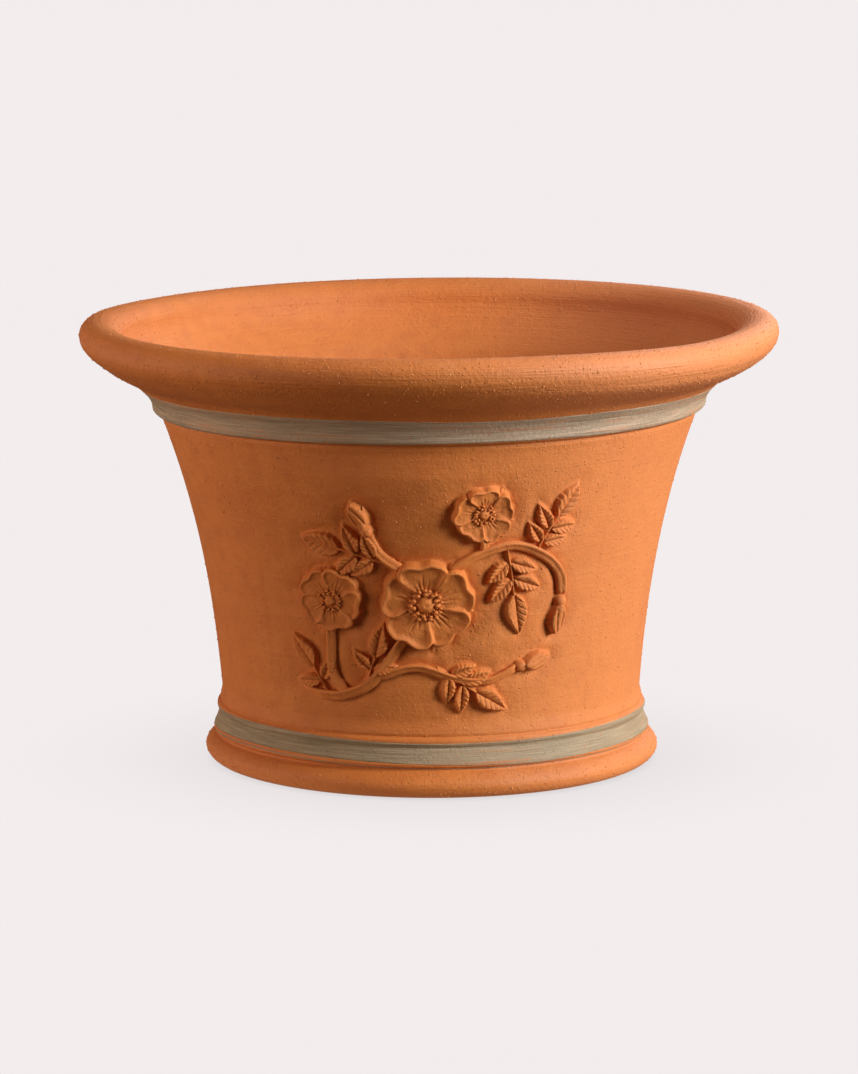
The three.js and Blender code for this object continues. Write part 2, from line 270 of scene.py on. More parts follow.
def layered(tree, base, *coats):
    """A colour under coats of others, each as strong as its pattern is between two values."""
    colour = linear(base)
    for pattern, none_at, full_at, strength, shade in coats:
        cover = add(tree, "ShaderNodeMapRange", {
            "Value": pattern, "From Min": none_at, "From Max": full_at, "To Max": strength})
        colour = add(tree, "ShaderNodeMix", {
            0: cover, 6: colour, 7: linear(shade)}, data_type="RGBA").outputs[2]
    return colour


def summed(tree, *pairs):
    """The sum of values, each times its own amount."""
    total = 0.0
    for value, amount in pairs:
        total = add(tree, "ShaderNodeMath", {
            0: value, 1: amount, 2: total}, operation="MULTIPLY_ADD")
    return total


def surfaced(tree, colour, relief, roughness, gloss):
    """The end of a clay's tree: its colour, its relief in millimetres and how it takes the light."""
    bump = add(tree, "ShaderNodeBump", {"Height": relief, "Distance": MM, "Strength": 1.0})
    shader = add(tree, "ShaderNodeBsdfPrincipled", {
        "Base Color": colour, "Roughness": roughness, "Normal": bump,
        "IOR": 1.5, "Specular IOR Level": gloss})
    add(tree, "ShaderNodeOutputMaterial", {"Surface": shader})


def fired_clay(name, lines, sand):
    """Unglazed terracotta: matt, orange-brown, clouded by the kiln, sandy, turned in fine lines."""
    material, tree, place = new_material(name)
    # Sizes in millimetres. The sand is really finer than half of one: it is drawn as it shows.
    clouds, blotches, skin, peel = (
        add(tree, "ShaderNodeTexNoise", {"Vector": place, "Scale": 1 / (size * MM), "Detail": detail})
        for size, detail in ((76.9, 4.0), (10.53, 5.0), (0.769, 3.0), (2.38, 2.0)))
    bloom = add(tree, "ShaderNodeTexNoise", {
        "Vector": place, "Scale": 1 / (47.6 * MM), "Detail": 7.0, "Roughness": 0.68})
    turning = wheel_lines(tree, place, 1.3)
    bands = wheel_lines(tree, place, 9.0)
    grog = grains(tree, place, 2.4, 0.22, 0.24)
    fine_grog = grains(tree, place, 1.1, 0.2, 0.34)
    lumps = grains(tree, place, 2.1, 0.3, 0.34)
    # Small pits: real dips in the skin, also painted darker as painted shade in them
    painted_shade_pits = grains(tree, place, 4.1, 0.03, 0.13)

    # The roll was left sandy, and the wall from over the foot to the neck was sponged smoother
    parts = add(tree, "ShaderNodeSeparateXYZ", {0: place})
    height = parts.outputs["Z"]
    on_roll = add(tree, "ShaderNodeMapRange", {
        "Value": height, "From Min": ROLL_FROM * MM, "From Max": (ROLL_FROM + ROLL_BLEND) * MM})
    under_neck = add(tree, "ShaderNodeMapRange", {
        "Value": height, "From Min": 215 * MM, "From Max": 175 * MM})
    sponged = add(tree, "ShaderNodeMapRange", {
        "Value": height, "From Min": 28 * MM, "From Max": 45 * MM, "To Max": under_neck})

    # The salts dried out mostly where nothing rubbed them off. The right side, where the key light
    # falls, is painted paler, and its roll most of all: a painted sheen of that light.
    salt_strength = summed(tree, (sponged, -0.09), (0.14, 1.0))
    painted_sheen_strength = summed(tree, (on_roll, 0.2), (0.44, 1.0))
    colour = layered(
        tree, "#c3651f",
        (clouds, 0.32, 0.68, 1.0, "#ce6f26"),
        (blotches, 0.42, 0.75, 0.7, "#bb5e1d"),
        (bands, 0.5, 0.8, 0.35, "#d17733"),
        (turning, 0.5, 0.9, 0.45, "#cf7535"),
        (bloom, 0.6, 0.8, salt_strength, "#dba27c"),
        # painted sheen: the lit right side, and its roll most, made paler
        (parts.outputs["X"], 15 * MM, 120 * MM, painted_sheen_strength, "#ce7947"),
        (grog, 0.0, 1.0, 0.2, "#e09a68"),
        (fine_grog, 0.0, 1.0, 0.22, "#dc9460"),
        (painted_shade_pits, 0.0, 1.0, 0.12, "#7a4018"))

    line_depth = summed(tree, (on_roll, 2.0 * lines), (lines, 1.0))
    peel_depth = summed(tree, (on_roll, 0.7 * sand), (2.2 * sand, 1.0))
    lump_height = summed(tree, (on_roll, 0.02), (0.13, 1.0))
    relief = summed(
        tree, (turning, line_depth), (skin, sand), (peel, peel_depth), (blotches, 0.1),
        (lumps, lump_height), (grog, 0.35), (fine_grog, 0.16), (painted_shade_pits, -0.06))
    roughness = summed(tree, (skin, 0.2), (sponged, 0.1), (0.57, 1.0))
    surfaced(tree, colour, relief, roughness, gloss=0.44)
    return material


terracotta = fired_clay("unglazed_terracotta", lines=0.2, sand=0.16)
add_piece("pot_body_thrown", pot_mesh, terracotta, "terracotta", "pot_body")


# ---- Slip bands ----
# A thin coat of grey-green slip, brushed on while the wheel turned, in the hollow over each bead.
# It is clay too, fired on with the pot: matt, streaked along the brush, and thin enough in
# places that the orange body shows through. Its edges wander a little where the brush did.

COAT = 0.22
SLIP_STEPS = 560


def runs(points):
    """How far along a line each of its points lies."""
    return np.concatenate([[0], np.cumsum(np.hypot(*np.diff(points, axis=0).T))])


def brush_wander(angle, seed, amount):
    """How far the brush strayed, in millimetres, round the pot."""
    rng = np.random.default_rng(seed)
    stray = np.zeros_like(angle)
    for turns in (1, 2, 3, 5, 8, 13, 21, 34):
        stray += rng.normal() / turns ** 0.55 * np.sin(turns * angle + rng.uniform(0, 6.3))
    return amount * stray


def slip_coat(name, heights, low_edge, high_edge, seed, rows=18):
    """A ring of slip in a stretch of the outline, between two edges that change round the pot."""
    profile = outside[(outside[:, 1] > heights[0]) & (outside[:, 1] < heights[1])]
    run = runs(profile)

    def at(lengths):
        return np.stack([np.interp(lengths, run, profile[:, k]) for k in (0, 1)], -1)

    angle = np.linspace(-np.pi, np.pi, SLIP_STEPS, endpoint=False)
    side = np.degrees(angle)
    low = low_edge(side) + brush_wander(angle, seed, 0.12)
    high = high_edge(side) + brush_wander(angle, seed + 1, 0.16)
    start, end = np.interp(low, profile[:, 1], run), np.interp(high, profile[:, 1], run)
    share = np.linspace(0, 1, rows)[:, None]
    lengths = start + (end - start) * share
    points = at(lengths)
    slope = at(np.minimum(lengths + 0.3, run[-1])) - at(np.maximum(lengths - 0.3, 0))
    out = np.stack([slope[..., 1], -slope[..., 0]], -1)
    out /= np.linalg.norm(out, axis=-1, keepdims=True)
    # Full for most of its width, the coat thins to nothing just under the skin at both edges
    coat = COAT * np.sqrt(np.clip(1 - (2 * share - 1) ** 12, 0, 1))[..., None] - 0.03
    front = points + out * coat
    back = (points - out * 0.5)[::-3]
    ring = np.concatenate([front, back])
    x, y = ring[..., 0] * np.sin(angle), -ring[..., 0] * np.cos(angle)
    return grid_mesh(name, settle(np.stack([x, y, ring[..., 1]], -1)), close_across=True)


def brushed_slip(name, thin_from, shades):
    """Matt grey-brown slip over terracotta, with the brush's streaks and grog showing through."""
    material, tree, place = new_material(name)
    patches, skin, peel = (
        add(tree, "ShaderNodeTexNoise", {"Vector": place, "Scale": 1 / (size * MM), "Detail": detail})
        for size, detail in ((41.7, 4.0), (0.769, 3.0), (2.38, 2.0)))
    streaks = wheel_lines(tree, place, 2.1)
    fine_streaks = wheel_lines(tree, place, 0.6)
    grog = grains(tree, place, 2.4, 0.22, 0.24)
    thinness = summed(tree, (streaks, 0.75), (fine_streaks, 0.3), (patches, 0.35))
    dark, middle, pale = shades
    colour = layered(
        tree, dark,
        (patches, 0.35, 0.65, 1.0, middle),
        (fine_streaks, 0.42, 0.68, 1.0, pale),
        (thinness, thin_from, thin_from + 0.13, 0.85, "#bd6b35"),
        (grog, 0.0, 1.0, 0.35, "#cf9a76"))
    relief = summed(
        tree, (streaks, 0.45), (fine_streaks, 0.36), (skin, 0.14), (peel, 0.4), (grog, 0.35))
    surfaced(tree, colour, relief, summed(tree, (skin, 0.2), (0.62, 1.0)), gloss=0.4)
    return material


thin_slip = brushed_slip("thin_brushed_grey_slip", 0.75, ("#8c7055", "#a17f60", "#bd9c7d"))
full_slip = brushed_slip("full_brushed_grey_slip", 0.79, ("#826a4d", "#997958", "#ac8e6a"))
UPPER_HOLLOW = (202.5, 223.0)
LOWER_HOLLOW = (14.5, 34.5)
upper_coat = slip_coat(
    "upper_slip_coat", UPPER_HOLLOW,
    lambda side: 205.5 - 0.9 * ridge(side + 62, 26) - 0.6 * ridge(side - 50, 24),
    lambda side: 219.8 - 1.3 * ridge(side - 14, 16) - 0.6 * ridge(side - 60, 20), seed=4)
lower_coat = slip_coat(
    "lower_slip_coat", LOWER_HOLLOW,
    lambda side: (19.2 + 2.0 * ridge(side + 52, 30) + 0.5 * ridge(side + 18, 14)
                  - 1.7 * ridge(side - 26, 20)),
    lambda side: 31.4 + 1.8 * ridge(side + 48, 28) + 1.9 * ridge(side - 66, 34), seed=9)
# A few hairs of the brush strayed off the band's lower edge
stray_line = slip_coat(
    "lower_slip_stray", LOWER_HOLLOW,
    lambda side: 16.5 + 2.6 * ridge(side + 55, 30) + 0.5 * ridge(side - 60, 30),
    lambda side: 17.1 + 2.8 * ridge(side + 55, 30) + 0.4 * ridge(side - 60, 30), seed=14, rows=8)
add_piece("upper_slip_coat", upper_coat, thin_slip, "slip", "upper_slip_band")
add_piece("lower_slip_coat", lower_coat, full_slip, "slip", "lower_slip_band")
add_piece("lower_slip_stray", stray_line, full_slip, "slip")


# ---- Roses ----
# Three open wild roses, each pressed from a flat of the same clay, luted to the wall with slip
# and tooled in place: five petals with rolled edges, a domed heart, and lines drawn from it.

RELIEF_RADIUS = 127.0  # of the wall that the relief's places are measured across
CELL = 0.36            # of the grid that a sprig's skin is made on
APRON = 2.6            # that the skin runs on past the sprig's outline
ROOT = 2.8             # that its underside is set into the wall
ROSE_DRAWN = 26.0      # a rose's radius at the sizes given here, which are scaled to each rose
HALF_PETAL = 0.74      # of a petal's angle, in radians
# A sprig's place in millimetres across the front and up it, its size, and its turn in degrees
Sprig = namedtuple("Sprig", "across height size turn")
laid_so_far = []


def uneven(x, y, seed, lengths=(2.2, 3.1, 4.3, 6.0, 8.5)):
    """Hollows and rises such as fingers leave, about -1 to 1, of several lengths in millimetres."""
    rng = np.random.default_rng(seed)
    total = np.zeros_like(x)
    for length in lengths:
        way, start = rng.uniform(0, 2 * np.pi, 2)
        total += np.sin((x * np.cos(way) + y * np.sin(way)) * 2 * np.pi / length + start) * length
    return total / (2.3 * max(lengths))


def wall_slope(height):
    """How fast the wall's radius grows with height."""
    return (wall_radius(height + 1) - wall_radius(height - 1)) / 2


def on_wall(across, height, proud):
    """Points on the pot's wall: millimetres across the front, height, and how far they stand out."""
    # Laying the relief pushed the wall about, and left it fuller between the top bud and the neck
    worked = np.exp(-((across - 5) / 76) ** 4 - ((height - 116) / 60) ** 4)
    proud = proud + 1.7 * worked * uneven(across, height, 8, (18.0, 27.0, 39.0, 55.0))
    beside = across + 4
    swell = ridge(beside, np.where(beside > 0, 31, 60)) * ridge(height - 184, 34)
    proud = proud + 3.2 * swell * np.clip((200 - height) / 14, 0, 1)
    angle = across / RELIEF_RADIUS
    lean = np.arctan(wall_slope(height))
    reach = wall_radius(height) + proud * np.cos(lean)
    up = height - proud * np.sin(lean)
    return settle(np.stack([reach * np.sin(angle), -reach * np.cos(angle), up], -1))


def scales_at(height):
    """Wall millimetres for one millimetre across the relief, and for one of height."""
    return wall_radius(height) / RELIEF_RADIUS, math.hypot(1, wall_slope(height))


def facing(x, y, turn):
    """Flat coordinates along and across a direction, from ones along and across the axes."""
    return x * np.cos(turn) + y * np.sin(turn), y * np.cos(turn) - x * np.sin(turn)


def laid(sprig, x, y, proud):
    """Points on the wall for a sprig's own flat ones, which start at its place and turn with it."""
    wide, tall = scales_at(sprig.height)
    right, up = facing(x, y, -math.radians(sprig.turn))
    return on_wall(sprig.across + right / wide, sprig.height + up / tall, proud)


def lifted(sprig, across, height):
    """A sprig's own flat coordinates for places on the wall."""
    wide, tall = scales_at(sprig.height)
    right, up = (across - sprig.across) * wide, (height - sprig.height) * tall
    return facing(right, up, math.radians(sprig.turn))


def outline_distance(x, y, outline):
    """Distance to a closed outline, negative inside it."""
    a, b = outline, np.roll(outline, -1, 0)
    side = b - a
    px, py = x[:, None] - a[:, 0], y[:, None] - a[:, 1]
    t = np.clip((px * side[:, 0] + py * side[:, 1]) / (side ** 2).sum(1), 0, 1)
    nearest = np.hypot(px - t * side[:, 0], py - t * side[:, 1]).min(1)
    crosses = (a[:, 1] > y[:, None]) != (b[:, 1] > y[:, None])
    rise = np.where(side[:, 1] == 0, 1e-9, side[:, 1])
    left = x[:, None] < side[:, 0] * (y[:, None] - a[:, 1]) / rise + a[:, 0]
    return np.where((crosses & left).sum(1) % 2 == 1, -nearest, nearest)


def edged(shape, distance, width=0.5):
    """A shape that rounds over and drops away at its outline, as a pressed edge does."""
    inside = 0.5 * (1 - np.tanh((distance + 0.3) / width))
    return shape * inside - ROOT * (1 - inside)


def joined(parts):
    """Shapes and their outlines' distances as one: the highest, and the distance to the nearest."""
    shapes, distances = zip(*parts)
    return np.maximum.reduce(shapes), np.minimum.reduce(distances)


def tooled(distance):
    """How deep the ground is thumbed and tooled down at a distance from a sprig's outline."""
    away = np.maximum(distance, 0)
    return 1.15 * ridge(away, 7.5) + 0.55 * ridge(distance - 0.9, 1.2)


def press(node, sprig, span, height_of, depth, seed):
    """Lays a sprig: a closed skin over the wall, down to the tooled ground and a little past it."""
    x_low, x_high, y_low, y_high = span
    grid = np.meshgrid(
        np.arange(x_low, x_high, CELL), np.arange(y_low, y_high, CELL), indexing="ij")
    x, y = grid[0].ravel(), grid[1].ravel()
    proud, distance = height_of(x, y)
    proud = proud + 0.16 * uneven(x, y, seed)
    buried = 0.5 * np.clip((distance - 0.9) / 1.2, 0, 1)
    proud = np.maximum(proud, 0.12 - depth * tooled(distance) - buried)
    index = np.arange(x.size).reshape(grid[0].shape)
    cells = np.stack([index[:-1, :-1], index[1:, :-1], index[1:, 1:], index[:-1, 1:]], -1)
    near = (distance < APRON)[cells].all(-1)
    used, faces = np.unique(cells[near], return_inverse=True)
    faces = faces.reshape(-1, 4)
    sides = np.concatenate([np.stack([faces[:, k], faces[:, (k + 1) % 4]], 1) for k in range(4)])
    shared = {tuple(pair) for pair in sides.tolist()}
    count = len(used)
    top = laid(sprig, x[used], y[used], proud[used])
    bottom = laid(sprig, x[used], y[used], np.full(count, -ROOT))
    under = faces[:, ::-1] + count
    skirts = [(b, a, a + count, b + count) for a, b in sides.tolist() if (b, a) not in shared]
    mesh = bpy.data.meshes.new(node + "_skin")
    mesh.from_pydata(
        (np.vstack([top, bottom]) * MM).tolist(), [], faces.tolist() + under.tolist() + skirts)
    mesh.shade_smooth()
    add_piece(node + "_pressed", mesh, pressed_clay, "sprig_clay", node)
    laid_so_far.append(
        (depth, lambda across, height: height_of(*lifted(sprig, across, height))[1]))


def petal_outline(size, points=26):
    """One broad petal from the heart outwards: narrow at the throat, notched at the tip."""
    a = np.linspace(-1, 1, points)
    rounded = 1 - 0.24 * np.abs(a) ** 5
    notched = 1 - 0.09 * ridge(a, 0.22)
    rho = size * rounded * notched * (1 + 0.012 * np.cos(8 * a + 1))
    arm = np.column_stack([rho * np.cos(a * HALF_PETAL), rho * np.sin(a * HALF_PETAL)])
    return np.vstack([[0, 0], arm])


def rose_height(size, seed):
    """How far a rose stands out over its flat, and the distance to its outline."""
    scale = size / ROSE_DRAWN
    rng = np.random.default_rng(seed)
    petals = [(i * 2 * np.pi / 5 + rng.uniform(-0.05, 0.05), size * rng.uniform(0.95, 1.04))
              for i in range(5)]

    def petal(x, y, turn, reach):
        px, py = facing(x, y, turn)
        distance = outline_distance(px, py, petal_outline(reach))
        rho, angle = np.hypot(x, y), np.arctan2(py, np.maximum(px, 1e-6))
        t = np.clip(rho / reach, 0, 1)
        hollow = 1.7 + 2.3 * t ** 1.6
        rolled = 1.45 * ridge(distance + 1.8 * scale, 1.5 * scale + 0.15)
        rolled = rolled * np.clip((t - 0.35) / 0.3, 0, 1)
        over_neighbour = angle / HALF_PETAL * np.clip(t * 1.4, 0, 1)
        ruffle = 0.3 * np.sin(angle * 6.5 + turn) * t ** 2
        drawn = np.zeros_like(px)
        for k, start in enumerate((-0.43, -0.22, 0.0, 0.2, 0.42)):
            end = 0.72 - 0.12 * abs(k - 2)
            fade = np.clip((end - t) / 0.14, 0, 1) * np.clip((t - 0.24) / 0.05, 0, 1)
            drawn = np.maximum(drawn, ridge((angle - start) * rho, 0.36 * scale + 0.1) * fade)
        shape = scale * (hollow + rolled + over_neighbour + ruffle - 0.6 * drawn) + 0.3
        return edged(shape, distance), distance

    def sepal(x, y, turn, reach):
        px, py = facing(x, y, turn + np.pi / 5)
        tip = [(0.5, 0.1), (0.82, 0.085), (1.05, 0), (0.82, -0.085), (0.5, -0.1)]
        distance = outline_distance(px, py, np.array(tip) * reach)
        return edged(1.4 * scale - 0.4 * ridge(py, 0.4), distance), distance

    def height(x, y):
        best, nearest = joined([part(x, y, *place) for part in (petal, sepal) for place in petals])
        rho, round_angle = np.hypot(x, y), np.arctan2(y, x)
        dome = 5.2 * np.sqrt(np.clip(1 - (rho / (5.4 * scale)) ** 2, 0, 1))
        dome = dome - 0.7 * ridge(rho, 1.1 * scale)
        threads = 3.2 * (0.85 + 0.15 * np.cos(round_angle * 22))
        threads = threads * np.clip((8.2 * scale - rho) / (1.3 * scale), 0, 1)
        heart = scale * np.maximum(dome, threads)
        return np.where(heart > 0.4, np.maximum(best, heart), best), nearest

    return height


def finished(name, source, tree, inputs):
    """The plain mesh that a node tree makes from a mesh; its inputs are set by their identifiers."""
    maker = put_in(name, source)
    modifier = maker.modifiers.new("make", "NODES")
    modifier.node_group = tree
    for item in tree.interface.items_tree:
        if item.in_out == "INPUT" and item.name in inputs:
            modifier[item.identifier] = inputs[item.name]
    graph = bpy.context.evaluated_depsgraph_get()
    mesh = bpy.data.meshes.new_from_object(maker.evaluated_get(graph))
    mesh.name = name
    bpy.data.objects.remove(maker)
    return mesh


def node_group(name, **inputs):
    """An empty geometry tree with named inputs, and its input and output nodes."""
    tree = bpy.data.node_groups.new(name, "GeometryNodeTree")
    tree.interface.new_socket("Geometry", in_out="INPUT", socket_type="NodeSocketGeometry")
    for title, kind in inputs.items():
        tree.interface.new_socket(title, in_out="INPUT", socket_type="NodeSocket" + kind)
    tree.interface.new_socket("Geometry", in_out="OUTPUT", socket_type="NodeSocketGeometry")
    return tree, add(tree, "NodeGroupInput").outputs, add(tree, "NodeGroupOutput")


def clad(tree, shape, given, result):
    """The end of a geometry tree: its instances made real, smooth and given their material."""
    solid = add(tree, "GeometryNodeRealizeInstances", {0: shape})
    smooth = add(tree, "GeometryNodeSetShadeSmooth", {0: solid})
    dressed = add(tree, "GeometryNodeSetMaterial", {0: smooth, "Material": given["Material"]})
    tree.links.new(dressed.outputs[0], result.inputs[0])
    return tree


def anther_tree():
    """Small beads in a ring, each a little out of line and of its own size."""
    tree, given, result = node_group(
        "ring_of_anthers", Count="Int", Ring="Float", Bead="Float", Seed="Int", Material="Material")
    ring = add(tree, "GeometryNodeMeshCircle", {"Vertices": given["Count"], "Radius": given["Ring"]})
    stray = add(tree, "FunctionNodeRandomValue", {
        0: (-0.0006, -0.0006, -0.0002), 1: (0.0006, 0.0006, 0.0003), "Seed": given["Seed"]},
        data_type="FLOAT_VECTOR")
    moved = add(tree, "GeometryNodeSetPosition", {"Geometry": ring, "Offset": stray})
    bead = add(tree, "GeometryNodeMeshIcoSphere", {"Radius": given["Bead"], "Subdivisions": 2})
    size = add(tree, "FunctionNodeRandomValue", {2: 0.8, 3: 1.15, "Seed": given["Seed"]})
    placed = add(tree, "GeometryNodeInstanceOnPoints", {
        "Points": moved, "Instance": bead, "Scale": size.outputs[1]})
    return clad(tree, placed, given, result)


def laid_on_wall(mesh, sprig, lift):
    """A flat mesh in metres, carried onto the wall at a sprig's place."""
    places = np.zeros(len(mesh.vertices) * 3)
    mesh.vertices.foreach_get("co", places)
    x, y, z = (places.reshape(-1, 3) / MM).T
    mesh.vertices.foreach_set("co", (laid(sprig, x, y, z + lift) * MM).ravel())
    mesh.update()
    return mesh


pressed_clay = fired_clay("hand_pressed_terracotta", lines=0.0, sand=0.13)
anthers = anther_tree()
roses = {
    "rose_large": Sprig(-2, 112, 27, 95),
    "rose_medium": Sprig(-55, 112, 19.5, 62),
    "rose_small": Sprig(27, 164, 18, 20),
}
for seed, (node, rose) in enumerate(roses.items()):
    reach = rose.size * 1.1 + 3
    press(node, rose, (-reach, reach, -reach, reach), rose_height(rose.size, seed),
          depth=1.0, seed=seed + 20)
    scale = rose.size / ROSE_DRAWN
    for row, (count, ring, lift) in enumerate(((11, 6.3, 3.9), (17, 8.1, 3.5))):
        beads = finished(f"{node}_anthers_{row}", bpy.data.meshes.new("none"), anthers, {
            "Count": count, "Ring": ring * scale * MM, "Bead": (0.95 * scale + 0.15) * MM,
            "Seed": 3 * seed + row, "Material": pressed_clay})
        add_piece(f"{node}_anthers_{row}", laid_on_wall(beads, rose, lift * scale),
                  pressed_clay, "sprig_clay")


# ---- Buds ----
# Furled buds on a round hip, rolled from one pellet of clay: the petals wrap round each other
# and three pointed sepals hug them. They are pressed on and tooled round as the roses are.

BUD_DRAWN = 20.0  # a bud's length at the sizes given here, which are scaled to each bud
NECK_AT = 4.2     # where its petals come out of the hip


def bud_height(size):
    """How far a bud stands out over its flat, and the distance to its outline."""
    scale = size / BUD_DRAWN

    def height(x, y):
        hip = np.hypot((x - 2.6 * scale) / (3.5 * scale), y / (3.0 * scale)) - 1
        ball = 3.4 * scale * np.sqrt(np.clip(1 - (hip + 1) ** 2, 0, 1)) + 0.2
        parts = [(np.where(hip < 0, ball, -ROOT), hip * 3 * scale)]
        # The furled petals: a spindle with two folds wound round it
        t = np.linspace(0, 1, 24)
        half = 5.2 * scale * np.sin(np.pi * (0.06 + 0.94 * t)) ** 0.72 * (1 - 0.22 * t)
        run = (NECK_AT + (BUD_DRAWN - NECK_AT) * t) * scale
        outline = np.vstack([np.column_stack([run, half]), np.column_stack([run, -half])[::-1]])
        distance = outline_distance(x, y, outline)
        t = np.clip((x / scale - NECK_AT) / (BUD_DRAWN - NECK_AT), 0, 1)
        body = 4.8 * scale * np.sqrt(np.clip(1 - (y / (5.9 * scale)) ** 2, 0, 1)) * (1 - 0.3 * t)
        left = ridge(y - 1.7 * scale * np.sin(t * 2.4) - 0.3, 0.5 * scale) * (t > 0.2)
        right = ridge(y + 2.5 * scale * np.cos(t * 1.9) - 0.2, 0.5 * scale) * (t > 0.1)
        parts.append((edged(body - scale * (0.75 * left + 0.65 * right), distance), distance))
        # The sepals: two that bow out to the sides and one between them
        for bow, length, lift in ((0.34, 0.62, 3.2), (-0.34, 0.6, 3.2), (0.03, 0.5, 4.8)):
            s = np.clip((x / scale - 3.6) / (length * BUD_DRAWN), 0, 1)
            centre = bow * 12 * scale * np.sin(np.pi * 0.5 * s ** 0.8)
            half = 1.85 * scale * np.sqrt(np.clip(1 - s, 0, 1)) * np.clip(s * 9, 0, 1)
            distance = np.where((s > 0) & (s < 1), np.abs(y - centre) - half, 9.0)
            rib = 0.3 * ridge(y - centre, 0.35 * scale)
            parts.append((edged((lift - 0.9 * s) * scale - rib, distance, 0.4), distance))
        return joined(parts)

    return height


buds = {
    "bud_top": Sprig(-31, 152, 23, 112),
    "bud_right": Sprig(76, 112, 23, -98),
    "bud_low": Sprig(50, 73, 22, 14),
}
for seed, (node, bud) in enumerate(buds.items()):
    span = (-4, bud.size * 1.05 + 4, -bud.size * 0.5, bud.size * 0.5)
    press(node, bud, span, bud_height(bud.size), depth=0.85, seed=seed + 30)


# ---- Leaf sprays ----
# Rose leaves: a midrib with one leaflet at its tip and pairs along it. Each leaflet is a pressed
# pat of clay with a saw-toothed edge, a furrow down its middle and side veins drawn with a point.

def leaflet_half(t, width):
    """Half the width of a leaflet at a share of its length, without its teeth."""
    return width / 2 * np.sin(np.pi * t ** 0.8) ** 0.85


def leaflet_outline(length, width, teeth):
    """A leaflet's outline from its stalk to its tip and back, with teeth that point forwards."""
    t = np.linspace(0, 1, 4 * teeth + 1)
    tooth = 0.5 * ((t * teeth) % 1 - 0.5) * np.sqrt(np.sin(np.pi * t).clip(0))
    half = leaflet_half(t, width) * (1 - 0.16 * t) + tooth * ((t > 0.06) & (t < 0.97))
    upper = np.column_stack([t * length, np.maximum(half, 0)])
    return np.vstack([upper, upper[-2:0:-1] * (1, -1)])


def leaflet_height(x, y, length, width, twist):
    """How far a leaflet stands out, quilted between its veins, and its outline's distance."""
    distance = outline_distance(x, y, leaflet_outline(length, width, teeth=7))
    t = np.clip(x / length, 0, 1)
    half = leaflet_half(np.clip(t, 0.03, 0.97), width) + 0.3
    quilt = 0.45 + 0.55 * np.sin(np.pi * 0.78 * np.clip(np.abs(y) / half, 0, 1))
    blade = 3.0 * quilt * (0.68 + 0.32 * np.sin(np.pi * t ** 0.8)) + twist * y / half + 0.3
    midrib = 0.8 * ridge(y, 0.45) * (1 - 0.6 * t)
    veins = np.zeros_like(x)
    for k in range(5):
        start = length * (0.1 + 0.155 * k)
        for side in (1, -1):
            beside = side * y
            path = 0.72 * np.abs(x - start - 0.95 * beside + 0.03 * beside ** 2)
            fade = np.clip((half - beside) / (0.35 * half), 0, 1) * (beside > 0.2)
            veins = np.maximum(veins, 0.5 * ridge(path, 0.4) * fade)
    blade = blade - np.maximum(midrib, veins) * (distance < -0.3)
    return edged(blade, distance), distance


def rib_reach(size, pairs):
    """How far along the midrib its end, or the pair of leaflets after so many pairs, stands."""
    return size * (0.3 + 0.38 * pairs)


def spray_height(size, pairs, seed):
    """How far a spray stands out over its flat, and the distance to its outline."""
    rng = np.random.default_rng(seed)
    reach = rib_reach(size, pairs)
    leaflets = [(reach - 1, 0.0, rng.uniform(-0.08, 0.08), size)]
    for i in range(pairs):
        for side in (-1, 1):
            turn = side * (1.0 + rng.uniform(-0.1, 0.1))
            leaflets.append((rib_reach(size, i), side * 0.4, turn, size * (0.7 + 0.06 * i)))
    twists = rng.uniform(-0.7, 0.7, len(leaflets))

    def height(x, y):
        rib = np.hypot(np.maximum(x - reach, 0) + np.maximum(-x - 1, 0), y - 0.35 * np.sin(x / 6))
        core = 2.0 * np.sqrt(np.clip(1 - (rib / 1.5) ** 2, 0, 1))
        best = edged(np.maximum(core, 1.0), rib - 1.3)
        nearest = rib - 1.4
        for (start_x, start_y, turn, length), twist in zip(leaflets, twists):
            lx, ly = facing(x - start_x, y - start_y, turn)
            close = (lx > -9) & (lx < length + 9) & (np.abs(ly) < length * 0.5 + 9)
            leaf, distance = leaflet_height(lx[close], ly[close], length, 0.58 * length, twist)
            best[close] = np.maximum(best[close], leaf)
            nearest[close] = np.minimum(nearest[close], distance)
        return best, nearest

    return height


leaf_sprays = {
    "leaf_spray_top": (Sprig(-22, 135, 26, 163), 2),
    "leaf_spray_low": (Sprig(5, 73, 23, -32), 2),
    "leaf_spray_hanging": (Sprig(41, 142, 26, -78), 2),
    "leaf_spray_arch": (Sprig(57, 139, 23, 64), 2),
    "leaf_spray_end": (Sprig(-61, 58, 24, 120), 1),
    "leaf_spray_inner": (Sprig(-36, 66, 22, 72), 1),
}
for seed, (node, (spray, pairs)) in enumerate(leaf_sprays.items()):
    size = spray.size
    span = (-5, rib_reach(size, pairs) + size + 4, -size * 0.85, size * 0.85)
    press(node, spray, span, spray_height(size, pairs, seed), depth=0.7, seed=seed + 40)


# ---- Branches and stalks ----
# Coils rolled by hand and pressed along their route, so each is half round, a little uneven and
# flared where it was smeared down at both sides. Their ends are tucked under what they join.

def route_on_wall(route, spacing=1.0):
    """A smooth path through the route's points, in millimetres across and up the wall."""
    first, last = 2 * np.array(route[0]) - route[1], 2 * np.array(route[-1]) - route[-2]
    points = np.array([first, *route, last], float)
    path = []
    for a, b, c, d in zip(points[:-3], points[1:-2], points[2:-1], points[3:]):
        steps = max(2, int(np.hypot(*(c - b)) / spacing))
        t = np.linspace(0, 1, steps, endpoint=False)[:, None]
        path.append(0.5 * (2 * b + (c - a) * t + (2 * a - 5 * b + 4 * c - d) * t ** 2
                           + (3 * b - a - 3 * c + d) * t ** 3))
    return np.vstack(path + [points[-2:-1]])


